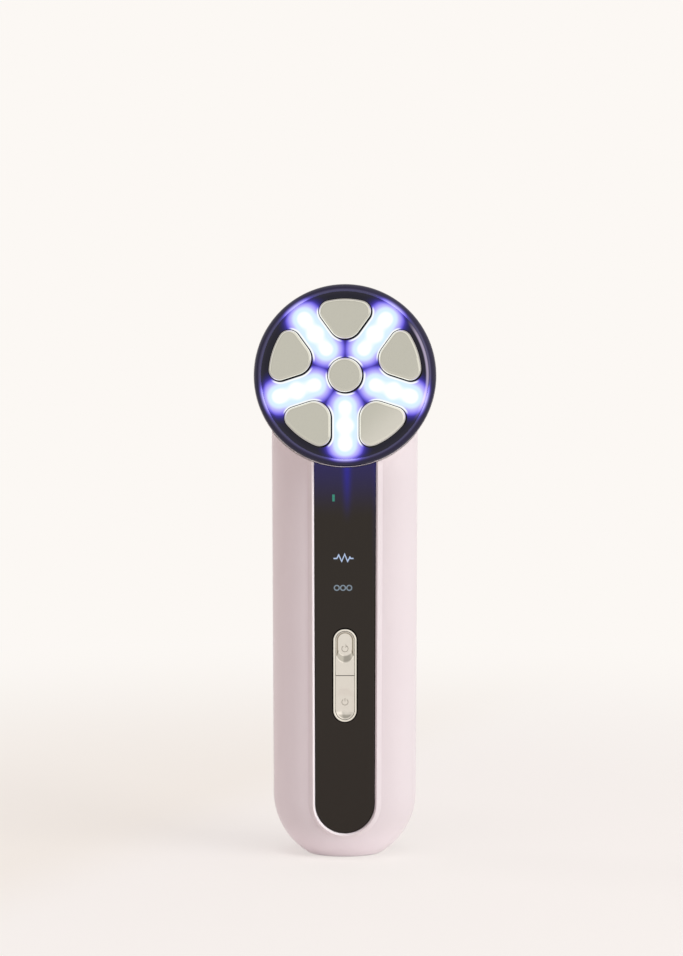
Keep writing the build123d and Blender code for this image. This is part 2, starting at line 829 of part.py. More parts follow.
with BuildPart() as capacitors:
    with BuildSketch(front(board_back)):
        with Locations((0, battery_low - capacitor_drop)):
            with GridLocations(2 * capacitor_spread, 0, 2, 1):
                Circle(capacitor_radius)
    extrude(amount=-capacitor_length)
    fillet(capacitors.edges().group_by(Axis.Y)[-1], capacitor_round)
capacitors.part.label = "capacitors"
export_step(capacitors.part, "parts/capacitors.step")

with BuildPart() as usb_port:
    with BuildSketch(Plane.XY.offset(port_recess)):
        with Locations(port_middle):
            RectangleRounded(port_width, port_height, port_round)
    extrude(amount=port_length)
    with BuildSketch(Plane.XY.offset(port_recess)):
        with Locations(port_middle):
            RectangleRounded(port_width - 2 * port_wall, port_height - 2 * port_wall, port_round - port_wall)
    extrude(amount=port_length - port_back, mode=Mode.SUBTRACT)
    with BuildSketch(Plane.XY.offset(port_recess + port_length)):
        with Locations(port_middle):
            Rectangle(tongue_width, tongue_thickness)
    extrude(amount=-tongue_length)
usb_port.part.label = "usb_port"
export_step(usb_port.part, "parts/usb_port.step")

# ---------------------------------------------------------------- battery, its tray, pad and leads
with BuildPart() as battery:
    with BuildSketch(front(-battery_face)):
        with Locations((0, battery_middle)):
            Rectangle(battery_width, battery_length)
    extrude(amount=-battery_thickness)
    fillet(battery.edges().filter_by(Axis.Z), battery_round)
battery.part.label = "battery"
export_step(battery.part, "parts/battery.step")

with BuildPart() as battery_pad:
    with BuildSketch(front(-battery_back)):
        with Locations((0, battery_middle)):
            Rectangle(battery_width - 2 * battery_pad_margin, battery_length - 2 * battery_pad_margin)
    extrude(amount=-battery_pad_thickness)
battery_pad.part.label = "battery_pad"
export_step(battery_pad.part, "parts/battery_pad.step")

with BuildPart() as battery_tray:
    tray_back = battery_face - battery_gap
    tray_front = tray_back - tray_thickness
    with BuildSketch(front(-tray_front)):
        with Locations((0, battery_middle)):
            Rectangle(battery_width + 2 * (battery_gap + tray_thickness), battery_length)
    extrude(amount=-(tray_thickness + battery_gap + tray_side))
    # hollow for the battery, open at both ends
    with BuildSketch(front(-tray_back)):
        with Locations((0, battery_middle)):
            Rectangle(battery_width + 2 * battery_gap, battery_length)
    extrude(amount=-battery_gap - tray_side, mode=Mode.SUBTRACT)
    # legs to the main board
    with BuildSketch(front(-tray_front)):
        with Locations((0, battery_middle)):
            with GridLocations(2 * tray_leg_spread, battery_length - 2 * tray_leg_inset, 2, 2):
                Circle(tray_leg_radius)
    extrude(amount=tray_front + board_back)
    # window that lightens the tray
    with BuildSketch(front(-tray_front)):
        with Locations((0, battery_middle)):
            RectangleRounded(tray_window[0], tray_window[1], tray_leg_radius)
    extrude(amount=-tray_thickness, mode=Mode.SUBTRACT)
battery_tray.part.label = "battery_tray"
export_step(battery_tray.part, "parts/battery_tray.step")

with BuildPart() as battery_leads:
    lead_height = battery_top + lead_rise
    lead_out = battery_face + battery_thickness / 2
    for across in (-lead_spread, lead_spread):
        with BuildLine(Plane.YZ.offset(across)) as route:
            FilletPolyline(
                (lead_out, battery_top),
                (lead_out, lead_height),
                (-board_back, lead_height),
                radius=lead_bend,
            )
        with BuildSketch(Plane(origin=(across, lead_out, battery_top), z_dir=(0, 0, 1))):
            Circle(lead_radius)
        sweep(path=route.wire())
battery_leads.part.label = "battery_leads"
export_step(battery_leads.part, "parts/battery_leads.step")

# ---------------------------------------------------------------- fasteners
# shank radius, head radius and head height
shell_screw = (screw_radius, screw_head_radius, screw_head_height)
board_screw = (post_screw_radius, post_screw_head_radius, post_screw_head_height)
# name, plane that the heads sit on, places, shank length, size, and 1 or -1 for heads ahead of or behind it
fasteners = (
    ("housing_screws", front(screw_seat), boss_places, screw_length, shell_screw, 1),
    ("head_screws", in_head(board_depth), head_screw_places, head_screw_length, shell_screw, 1),
    ("board_screws", front(board_back), post_places, post_screw_length, board_screw, -1),
)
for screws_name, seat, places, length, (shank_radius, cap_radius, cap_height), facing in fasteners:
    with BuildPart() as screws:
        with BuildSketch(seat):
            with Locations(*places):
                Circle(cap_radius)
        extrude(amount=facing * cap_height)
        with BuildSketch(seat):
            with Locations(*places):
                Circle(shank_radius)
        extrude(amount=-facing * length)
        with BuildSketch(seat.offset(facing * cap_height)):
            with Locations(*places):
                Rectangle(cross_length, cross_width)
                Rectangle(cross_width, cross_length)
        extrude(amount=-facing * cross_depth, mode=Mode.SUBTRACT)
    screws.part.label = screws_name
    export_step(screws.part, f"parts/{screws_name}.step")
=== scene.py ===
import json
import math

import bmesh
import bpy
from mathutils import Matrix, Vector


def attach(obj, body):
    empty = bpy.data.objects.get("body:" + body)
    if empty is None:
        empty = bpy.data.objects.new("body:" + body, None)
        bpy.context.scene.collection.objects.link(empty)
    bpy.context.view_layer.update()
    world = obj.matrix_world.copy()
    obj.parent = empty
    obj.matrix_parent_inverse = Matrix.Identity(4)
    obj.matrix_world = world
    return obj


# The facial toning device in its studio. Metres, in the frame of the CAD model: +Z up, front towards -Y.
# Materials and marks are written in millimetres.
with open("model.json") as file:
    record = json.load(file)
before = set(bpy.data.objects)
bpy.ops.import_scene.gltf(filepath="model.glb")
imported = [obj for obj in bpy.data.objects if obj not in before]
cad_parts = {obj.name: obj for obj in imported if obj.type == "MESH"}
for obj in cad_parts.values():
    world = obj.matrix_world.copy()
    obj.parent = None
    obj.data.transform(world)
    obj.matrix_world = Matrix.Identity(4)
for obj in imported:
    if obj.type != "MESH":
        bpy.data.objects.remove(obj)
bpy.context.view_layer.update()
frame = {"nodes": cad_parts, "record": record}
scene = bpy.context.scene
scene.view_settings.view_transform = "Standard"

MM = 0.001

# ---------------------------------------------------------------- places on the handle, in millimetres
# here and for the head, a pair of numbers is mostly where something sets in and where it is full
FOOT_LIGHT_HEIGHTS = (12.0, 1.0)  # heights between which painted light from the floor turns the shell lighter
PANEL_FRONT = 14.1
PANEL_END_HEIGHT = 17.45  # middle of the panel's round lower end
PANEL_WIDENING = 0.0033  # of each side of the panel, for each millimetre up
MOUTH_EDGE = (9.95, 9.85)  # mouth of the track, from the panel's middle
MOUTH_Y = -13.9
MOUTH_X = (5.0, -3.0)  # its painted highlight sets in left of this
KEYS_PARTING = 57.0  # height of the gap between the keys
KEY_MIDDLES = (65.83, 48.57)
KEY_FLOOR = 13.55  # floor of the upper key's dish
DISH_TOP_Y = (-14.5, -14.35)  # upper edge of the dish's steep sides
DISH_FOOT_Y = (-13.58, -13.7)  # and their lower edge
SCOOP_FLOOR = 13.95  # lowest line of the lower key's scoop
SCOOP_RADIUS = 6.17
SCOOP_TOP_Y = (-14.5, -14.4)
SCOOP_END = (45.4, 44.8)
SEAM_MIDDLE = 57.2  # painted shadow along the seam round the frame of the keys
SEAM_HALF = 10.725
SEAM_RADIUS = 3.755
SEAM_WIDTH = 0.34
INK = 0.02  # how far a printed or engraved mark stands proud of what carries it
INK_ROOT = 0.03  # and how far it reaches below the surface
# the glow of the head on the panel: below it, in a streak and along the right edge
PANEL_GLOW_HEIGHTS = (105.0, 124.5)
PANEL_GLOW_LEVEL = 0.075
PANEL_STREAK_HEIGHTS = (103.0, 124.0)
PANEL_STREAK_X = 0.6
PANEL_STREAK_FALL = 0.8
PANEL_STREAK_LEVEL = 0.19
PANEL_EDGE_HEIGHTS = (80.0, 121.0)
PANEL_EDGE_X = (7.6, 9.4)
PANEL_EDGE_LEVEL = 0.02

# ---------------------------------------------------------------- places on the head, in millimetres
HEAD_FRONT = 21.0
HEAD_HEIGHT = 149.3
HEAD_TILT = math.radians(5)
FIRST_ROW = math.radians(36)
ROW_PITCH = math.radians(72)
LIGHT_REACHES = (9.6, 15.25, 20.9)
LIGHT_WEIGHTS = (0.97, 1.0, 1.07)
LIGHT_SPREAD = 2.75
LENS_DEPTH = 1.0  # lens behind the crest of the ring
FACE_MARGIN = 0.03  # what lies less far behind the lens's face still belongs to it
LENS_SIDE = 25.2
LENS_RIM = (24.2, 24.9)
RIM_FADE = -0.35  # how much nearer the lights seem from there, less than nought being further
RIM_LEVEL = 0.014
ROW_START = (10.0, 12.5)  # stretch along a row where the electrodes stand close
ROW_END = (21.0, 18.0)
ROW_SPREAD = -0.22  # how the glow spreads sideways there
RING_SPAN = (25.4, 27.4)  # from the foot of the ring's inner slope to its shoulder
RING_NEARER = 0.6  # how much nearer the lights seem from the ring
RING_SKIRT = -2.0  # the glow ends here, behind the crest
PAD_REACH = 23.05
PAD_SIDE = 4.3
PAD_INNER_ROUND = 5.1
PAD_OUTER_ROUND = 3.3
CENTRE_PAD_RADIUS = 5.2
PAD_LIGHT = (-133.0, -117.0)  # x - z, where the lower right electrode turns brighter
PAD_ROUNDING_AHEAD = (-0.12, -0.34)  # ahead of the crest: the rounding that catches light
PAD_FACE_AHEAD = (-0.2, -0.3)  # no shade ahead of this
PAD_FOOT_AHEAD = (-0.84, -0.92)  # down in the gap
PAD_EDGE_OFF = (0.02, 0.08)  # outside the outline, shifted
PAD_ROW_ASIDE = (9.5, 8.5)
GAP_SHADOW_SHIFT = 0.14  # how far the painted shadow in the gap round the electrodes is shifted to the right and down
GAP_SHADOW_OFF = (0.34, 0.22)  # and its outer edge
LINE_START_OFF = (0.22, 0.34)  # line of light outside the gap
LINE_END_OFF = (0.95, 0.7)
LINE_APART = (5.6, 4.2)  # from the lights
STREAK_START = (24.2, 24.75)  # streak of light on the lens, from the axis
STREAK_END = (25.4, 25.0)
STREAK_X = (18.5, 22.5)
STREAK_Z = (135.0, 143.0)

# ---------------------------------------------------------------- colours
BLACK = (0.0, 0.0, 0.0)
BLUE = (0.0, 0.0, 1.0)
SHELL = (0.81, 0.748, 0.772)
SHELL_CLOUD = (0.795, 0.733, 0.757)
SHELL_FOOT_LIT = (0.90, 0.825, 0.868)
SHELL_MOUTH_HIGHLIGHT = (1.0, 0.96, 0.98)
KEY_METAL = (0.76, 0.725, 0.66)
KEY_STEEP_SHADE = (0.44, 0.42, 0.37)
PAD_METAL = (0.60, 0.60, 0.53)
PAD_BRIGHT_REFLECTION = (0.74, 0.73, 0.66)
PAD_GAP_SHADE = (0.01, 0.01, 0.01)
PAD_ROUNDING_HIGHLIGHT = (0.46, 0.43, 0.39)
LENS_STREAK = (0.40, 0.34, 0.47)

# the glow round the lights, by the distance from them, as the eye sees it
HALO_SPAN = 10.0
HALO = (
    (0.0, (255, 255, 255)),
    (1.7, (255, 255, 255)),
    (2.0, (238, 251, 254)),
    (2.4, (216, 241, 252)),
    (2.9, (217, 238, 253)),
    (3.3, (212, 228, 253)),
    (3.9, (190, 186, 251)),
    (4.4, (172, 162, 249)),
    (4.9, (139, 127, 240)),
    (5.4, (100, 86, 215)),
    (5.9, (52, 39, 150)),
    (6.6, (23, 15, 100)),
    (7.4, (9, 4, 62)),
    (8.4, (3, 1, 32)),
    (10.0, (0, 0, 20)),
)
# how much of that glow the ring shows, over its span: it ends on the crest, with a trace on the shoulder
GLOW_ON_RING = (
    (0.0, (1.0, 1.0, 1.0)),
    (0.1, (0.85, 0.85, 0.90)),
    (0.2, (0.72, 0.72, 0.85)),
    (0.3, (0.44, 0.44, 0.66)),
    (0.45, (0.14, 0.14, 0.30)),
    (0.6, (0.03, 0.03, 0.08)),
    (1.0, (0.02, 0.02, 0.03)),
)
# light that the ring's slope and crest catch all round, over its span
CAUGHT_BY_RING = (
    (0.0, (0.062, 0.058, 0.108)),
    (0.1, (0.070, 0.066, 0.118)),
    (0.17, (0.062, 0.058, 0.104)),
    (0.25, (0.030, 0.026, 0.056)),
    (0.35, (0.010, 0.006, 0.026)),
    (0.5, (0.0, 0.0, 0.008)),
    (1.0, (0.0, 0.0, 0.004)),
)


def linear(red, green, blue):
    """A colour given as the eye sees it, from 0 to 255, as the linear one that nodes take."""
    return tuple(
        value / 12.92 if value <= 0.04045 else ((value + 0.055) / 1.055) ** 2.4
        for value in (red / 255, green / 255, blue / 255)
    )


BACKGROUND = linear(252, 248, 244)
LINE_LIGHT = linear(250, 253, 254)


# ---------------------------------------------------------------- short ways to write nodes
class Nodes:
    """A node tree, and short ways to add to it. A value is a number, a colour or another node's output."""

    def __init__(self, tree):
        self.tree = tree

    def feed(self, socket, value):
        if isinstance(value, bpy.types.NodeSocket):
            self.tree.links.new(value, socket)
        else:
            socket.default_value = value

    def node(self, kind, *values, output=0, **settings):
        made = self.tree.nodes.new(kind)
        for name, value in settings.items():
            setattr(made, name, value)
        for socket, value in zip(made.inputs, values):
            self.feed(socket, value)
        return made.outputs[output]

    def outputs(self, kind):
        return self.tree.nodes.new(kind).outputs

    def math(self, operation, *values):
        return self.node("ShaderNodeMath", *values, operation=operation)

    def product(self, value, *others):
        for other in others:
            value = self.math("MULTIPLY", value, other)
        return value

    def square(self, value):
        return self.math("MULTIPLY", value, value)

    def between(self, value, start, end, at_start=0.0, at_end=1.0, smooth=False):
        """0 to 1, or from one number to another, as the value goes from start to end."""
        kind = "SMOOTHSTEP" if smooth else "LINEAR"
        return self.node(
            "ShaderNodeMapRange", value, start, end, at_start, at_end, interpolation_type=kind
        )

    def mix(self, factor, low, high):
        """Two colours mixed by a factor."""
        made = self.tree.nodes.new("ShaderNodeMix")
        made.data_type = "RGBA"
        for name, value in (("Factor_Float", factor), ("A_Color", low), ("B_Color", high)):
            socket = next(s for s in made.inputs if s.identifier == name)
            self.feed(socket, (*value, 1) if isinstance(value, tuple) else value)
        return next(s for s in made.outputs if s.identifier == "Result_Color")

    def ramp(self, factor, stops):
        """The colour at that factor between stops, each a place and a colour."""
        made = self.tree.nodes.new("ShaderNodeValToRGB")
        self.feed(made.inputs[0], factor)
        points = made.color_ramp.elements
        for index, (place, colour) in enumerate(stops):
            point = points[index] if index < 2 else points.new(place)
            point.position = place
            point.color = (*colour, 1)
        return made.outputs[0]


class Look(Nodes):
    """A Principled material, with places in the device's own frame."""

    def __init__(self, name, colour, **settings):
        self.material = bpy.data.materials.new(name)
        self.material.use_nodes = True
        super().__init__(self.material.node_tree)
        self.shader = self.tree.nodes["Principled BSDF"]
        self.set("Base Color", (*colour, 1))
        for name, value in settings.items():
            self.set(name.replace("_", " "), value)

    def set(self, name, value):
        self.feed(self.shader.inputs[name], value)

    def place(self):
        return self.outputs("ShaderNodeTexCoord")["Object"]

    def coordinates(self):
        """x, y and z in millimetres."""
        made = self.tree.nodes.new("ShaderNodeSeparateXYZ")
        scaled = self.node("ShaderNodeVectorMath", self.place(), (1 / MM,) * 3, operation="MULTIPLY")
        self.feed(made.inputs[0], scaled)
        return made.outputs

    def noise(self, size, detail=3.0):
        """Noise from 0 to 1 whose blotches are about that many millimetres across."""
        made = self.tree.nodes.new("ShaderNodeTexNoise")
        self.feed(made.inputs["Vector"], self.place())
        made.inputs["Scale"].default_value = 1 / (size * MM)
        made.inputs["Detail"].default_value = detail
        return made.outputs["Fac"]

    def uneven_gloss(self, size, detail, low, high):
        """Roughness that drifts between two values, as it does where a surface was handled or wiped."""
        self.set("Roughness", self.between(self.noise(size, detail), 0.4, 0.8, low, high))

    def bump(self, size, detail, depth):
        """Relief of that size and depth in millimetres."""
        made = self.tree.nodes.new("ShaderNodeBump")
        made.inputs["Strength"].default_value = 1.0
        made.inputs["Distance"].default_value = depth * MM
        self.feed(made.inputs["Height"], self.noise(size, detail))
        self.set("Normal", made.outputs["Normal"])

    def glow(self, colour, strength=1.0):
        self.set("Emission Color", colour)
        self.set("Emission Strength", strength)


# ---------------------------------------------------------------- finishes
def moulded(name, colour, other, roughness, grain, depth):
    """Moulded or painted plastic with a slight cloud in its colour and sheen and a fine grain."""
    look = Look(name, colour)
    look.clouded = look.mix(look.noise(7.0), colour, other)
    look.set("Base Color", look.clouded)
    look.set("Roughness", look.between(look.noise(0.9), 0.3, 0.7, roughness - 0.03, roughness + 0.03))
    look.bump(grain, 2.0, depth)
    return look


def plain_metal(name, colour, roughness, grain, depth):
    """Metal or metallised plastic with faint wipe marks in its gloss."""
    look = Look(name, colour, Metallic=1.0)
    wiped = look.noise(1.6, detail=5.0)
    look.set("Roughness", look.between(wiped, 0.35, 0.75, roughness, roughness * 1.35))
    look.bump(grain, 2.0, depth)
    return look


def metal(name, colour, roughness, grain, depth):
    """The same with a slight cloud in its colour."""
    look = plain_metal(name, colour, roughness, grain, depth)
    look.set("Base Color", look.mix(look.noise(5.0), colour, tuple(0.985 * part for part in colour)))
    return look


def shell_look():
    """Soft-touch plastic, with painted light from the floor that turns it lighter towards the foot."""
    look = moulded("shell_soft_touch", SHELL, SHELL_CLOUD, 0.42, 0.12, 0.0035)
    look.set("Coat Weight", 0.12)
    look.set("Coat Roughness", 0.3)
    x, y, z = look.coordinates()
    # painted light from the floor: lighter towards the foot
    colour = look.mix(look.between(z, *FOOT_LIGHT_HEIGHTS, smooth=True), look.clouded, SHELL_FOOT_LIT)
    # painted highlight: a bright line on the bevelled mouth of the track, where it catches the light, left of
    # the panel and below it
    over = look.math("SUBTRACT", z, PANEL_END_HEIGHT)
    below = look.math("MINIMUM", over, 0.0)
    above = look.math("MAXIMUM", over, 0.0)
    reach = look.math("SQRT", look.math("MULTIPLY_ADD", x, x, look.square(below)))
    reach = look.math("MULTIPLY_ADD", above, -PANEL_WIDENING, reach)
    mouth_highlight = look.product(
        look.between(reach, *MOUTH_EDGE),
        look.math("LESS_THAN", y, MOUTH_Y),
        look.between(x, *MOUTH_X, smooth=True),
    )
    look.set("Base Color", look.mix(mouth_highlight, colour, SHELL_MOUTH_HIGHLIGHT))
    return look


def panel_look():
    """Polished black, in which the light of the head shows."""
    look = Look("panel_polished_black", (0.002, 0.0018, 0.0016), IOR=1.5)
    look.set("Specular Tint", (0.93, 0.80, 0.70, 1))
    look.uneven_gloss(2.5, 6.0, 0.07, 0.12)
    look.bump(6.0, 1.0, 0.002)
    x, _, z = look.coordinates()
    near_head = look.between(z, *PANEL_GLOW_HEIGHTS, smooth=True)
    off_middle = look.math("SUBTRACT", x, PANEL_STREAK_X)
    streak = look.math("EXPONENT", look.math("MULTIPLY", look.square(off_middle), -PANEL_STREAK_FALL))
    streak = look.product(streak, look.between(z, *PANEL_STREAK_HEIGHTS, smooth=True))
    edge = look.product(look.between(x, *PANEL_EDGE_X, smooth=True), look.between(z, *PANEL_EDGE_HEIGHTS))
    light = look.math("MULTIPLY", near_head, PANEL_GLOW_LEVEL)
    light = look.math("MULTIPLY_ADD", streak, PANEL_STREAK_LEVEL, light)
    light = look.math("MULTIPLY_ADD", edge, PANEL_EDGE_LEVEL, light)
    look.glow(look.mix(light, BLACK, BLUE))
    return look


def key_look():
    """Champagne metal, with painted shade on the steep sides of the upper dish and at the lower end of the
    scoop.
    """
    look = plain_metal("key_champagne_satin", KEY_METAL, 0.13, 0.4, 0.0008)
    _, y, z = look.coordinates()
    # painted shade: darker on the steep sides of the upper dish and at the lower end of the scoop
    dish_shade = look.product(
        look.between(y, *DISH_TOP_Y),
        look.between(y, *DISH_FOOT_Y),
        look.math("GREATER_THAN", z, KEYS_PARTING),
    )
    scoop_end_shade = look.product(look.between(z, *SCOOP_END), look.between(y, *SCOOP_TOP_Y))
    look.set("Base Color", look.mix(look.math("MAXIMUM", dish_shade, scoop_end_shade), KEY_METAL, KEY_STEEP_SHADE))
    return look


def head_places(look, shift=0.0):
    """Millimetres from the head's axis, ahead of its crest, and along and aside of the nearest row of lights.

    The axis can be shifted that far to the right and down.
    """
    x, y, z = look.coordinates()
    x = look.math("SUBTRACT", x, shift)
    back = look.math("ADD", y, HEAD_FRONT)
    up = look.math("SUBTRACT", z, HEAD_HEIGHT - shift)
    cosine = math.cos(HEAD_TILT)
    sine = math.sin(HEAD_TILT)
    rise = look.math("MULTIPLY_ADD", up, cosine, look.math("MULTIPLY", back, sine))
    ahead = look.math("MULTIPLY_ADD", up, sine, look.math("MULTIPLY", back, -cosine))
    reach = look.math("SQRT", look.math("MULTIPLY_ADD", x, x, look.square(rise)))
    turn = look.math("SUBTRACT", look.math("ARCTAN2", x, rise), FIRST_ROW - ROW_PITCH / 2)
    turn = look.math("SUBTRACT", look.math("FLOORED_MODULO", turn, ROW_PITCH), ROW_PITCH / 2)
    along = look.math("MULTIPLY", reach, look.math("COSINE", turn))
    aside = look.math("ABSOLUTE", look.math("MULTIPLY", reach, look.math("SINE", turn)))
    return reach, ahead, along, aside


def halo(look, along, aside, nearer):
    """The distance to the lights, as if they were that many millimetres nearer, and their glow's colour."""
    light = 0.0
    for light_reach, weight in zip(LIGHT_REACHES, LIGHT_WEIGHTS):
        ahead = look.math("SUBTRACT", along, light_reach)
        squares = look.math("MULTIPLY_ADD", ahead, ahead, look.square(aside))
        fall = look.math("EXPONENT", look.math("MULTIPLY", squares, -1 / LIGHT_SPREAD**2))
        light = look.math("MULTIPLY_ADD", fall, weight, light)
    # back to a distance in millimetres, so that the ramp can be set in them
    squares = look.math("MULTIPLY", look.math("LOGARITHM", light, math.e), -(LIGHT_SPREAD**2))
    apart = look.math("SQRT", look.math("MAXIMUM", squares, 0.0))
    apart = look.math("SUBTRACT", apart, nearer)
    stops = [(at / HALO_SPAN, linear(*tint)) for at, tint in HALO]
    return apart, look.ramp(look.math("DIVIDE", apart, HALO_SPAN), stops)


def off_pads(look, reach, along, aside):
    """Millimetres outside the outline of the nearest electrode: a disc, or a fan with rounded corners."""
    inner_aside = PAD_SIDE + PAD_INNER_ROUND
    inner_along = inner_aside / math.tan(ROW_PITCH / 2)
    outer_aside = PAD_SIDE + PAD_OUTER_ROUND
    outer_along = math.sqrt((PAD_REACH - PAD_OUTER_ROUND) ** 2 - outer_aside**2)
    corners = []
    for middle_along, middle_aside, radius, side in (
        (inner_along, inner_aside, PAD_INNER_ROUND, "MINIMUM"),
        (outer_along, outer_aside, PAD_OUTER_ROUND, "MAXIMUM"),
    ):
        past = look.math(side, look.math("SUBTRACT", along, middle_along), 0.0)
        sideways = look.math("SUBTRACT", aside, middle_aside)
        squares = look.math("MULTIPLY_ADD", past, past, look.square(sideways))
        corners.append(look.math("SUBTRACT", look.math("SQRT", squares), radius))
    off_fan = look.math("MAXIMUM", *corners)
    off_disc = look.math("SUBTRACT", reach, CENTRE_PAD_RADIUS)
    return look.math("MINIMUM", off_fan, off_disc)


def electrode_look():
    """Mirror metal, with a painted highlight where its rounding catches the light of the lens, and painted
    shade along its edge and down in its gap.
    """
    look = plain_metal("electrode_mirror", PAD_METAL, 0.1, 1.5, 0.0004)
    # painted reflection: the lower right electrode is made brighter, as it shows more of the bright side of
    # the room
    x, _, z = look.coordinates()
    low_right_reflection = look.between(look.math("SUBTRACT", x, z), *PAD_LIGHT, smooth=True)
    colour = look.mix(low_right_reflection, PAD_METAL, PAD_BRIGHT_REFLECTION)
    reach, ahead, along, aside = head_places(look, shift=-GAP_SHADOW_SHIFT)
    off = off_pads(look, reach, along, aside)
    # painted shade along the shifted outline beside the rows and down in the gap, and a painted highlight on
    # the rounding
    beside_row = look.product(look.between(off, *PAD_EDGE_OFF), look.between(aside, *PAD_ROW_ASIDE))
    pad_shade = look.math("MAXIMUM", beside_row, look.between(ahead, *PAD_FOOT_AHEAD))
    pad_shade = look.product(pad_shade, look.between(ahead, *PAD_FACE_AHEAD))
    rounding_highlight = look.mix(look.between(ahead, *PAD_ROUNDING_AHEAD, smooth=True), BLACK, PAD_ROUNDING_HIGHLIGHT)
    look.glow(look.mix(pad_shade, rounding_highlight, BLACK))
    look.set("Base Color", look.mix(pad_shade, colour, PAD_GAP_SHADE))
    return look


def bezel_look():
    """Polished blue-black, with the glow on the inner slope."""
    look = Look("bezel_blue_black", (0.007, 0.006, 0.022), IOR=1.5, Specular_IOR_Level=0.42)
    look.set("Specular Tint", (0.88, 0.85, 1.0, 1))
    look.uneven_gloss(1.8, 5.0, 0.12, 0.17)
    look.bump(4.0, 1.0, 0.002)
    reach, ahead, along, aside = head_places(look)
    _, light = halo(look, along, aside, nearer=RING_NEARER)
    across = look.between(reach, *RING_SPAN)
    light = look.mix(look.ramp(across, GLOW_ON_RING), BLACK, light)
    caught = look.ramp(across, CAUGHT_BY_RING)
    light = look.node("ShaderNodeVectorMath", light, caught, operation="ADD")
    look.glow(light, look.math("GREATER_THAN", ahead, RING_SKIRT))
    return look


def lens_look():
    """Smoked plate with the rows of lights behind it."""
    look = Look("lens_lit_from_behind", (0.004, 0.0035, 0.008), IOR=1.5, Specular_IOR_Level=0.32)
    look.uneven_gloss(2.5, 5.0, 0.09, 0.14)
    look.bump(4.0, 1.0, 0.002)
    reach, ahead, along, aside = head_places(look)
    # between two electrodes the glow stays pale up to their sides, and it fades sooner on the rim
    row = look.product(
        look.between(along, *ROW_START, smooth=True), look.between(along, *ROW_END, smooth=True)
    )
    squeezed = look.math("MULTIPLY", aside, look.math("MULTIPLY_ADD", row, ROW_SPREAD, 1.0))
    rim = look.between(reach, *LENS_RIM)
    apart, light = halo(look, along, squeezed, nearer=look.math("MULTIPLY", rim, RIM_FADE))
    # light caught along the electrodes, and inside it a painted shadow in the gap, widest right of them and
    # below
    shifted, _, shifted_along, shifted_aside = head_places(look, shift=GAP_SHADOW_SHIFT)
    off = off_pads(look, shifted, shifted_along, shifted_aside)
    caught = look.product(
        look.between(off, *LINE_START_OFF),
        look.between(off, *LINE_END_OFF, smooth=True),
        look.between(apart, *LINE_APART, smooth=True),
    )
    light = look.mix(caught, light, LINE_LIGHT)
    light = look.mix(look.between(off, *GAP_SHADOW_OFF), light, BLACK)
    # a streak of light near the right edge, and the faint rim
    x, _, z = look.coordinates()
    streak = look.product(
        look.between(reach, *STREAK_START, smooth=True),
        look.between(reach, *STREAK_END),
        look.between(x, *STREAK_X, smooth=True),
        look.between(z, *STREAK_Z, smooth=True),
    )
    streak = look.mix(look.math("MULTIPLY_ADD", rim, RIM_LEVEL, streak), BLACK, LENS_STREAK)
    light = look.node("ShaderNodeVectorMath", light, streak, operation="ADD")
    # only the face and the outer side glow, not the sides of the openings
    face = look.math("GREATER_THAN", ahead, -LENS_DEPTH - FACE_MARGIN)
    outer_side = look.math("GREATER_THAN", reach, LENS_SIDE)
    look.glow(light, look.math("MAXIMUM", face, outer_side))
    return look


def mark_look(name, tint):
    """A mark lit from behind the panel."""
    look = Look(name, (0.01, 0.01, 0.01), Roughness=0.2)
    shade = look.between(look.noise(0.5), 0.3, 0.7)
    look.glow(look.mix(shade, tint, tuple(0.8 * part for part in tint)))
    return look


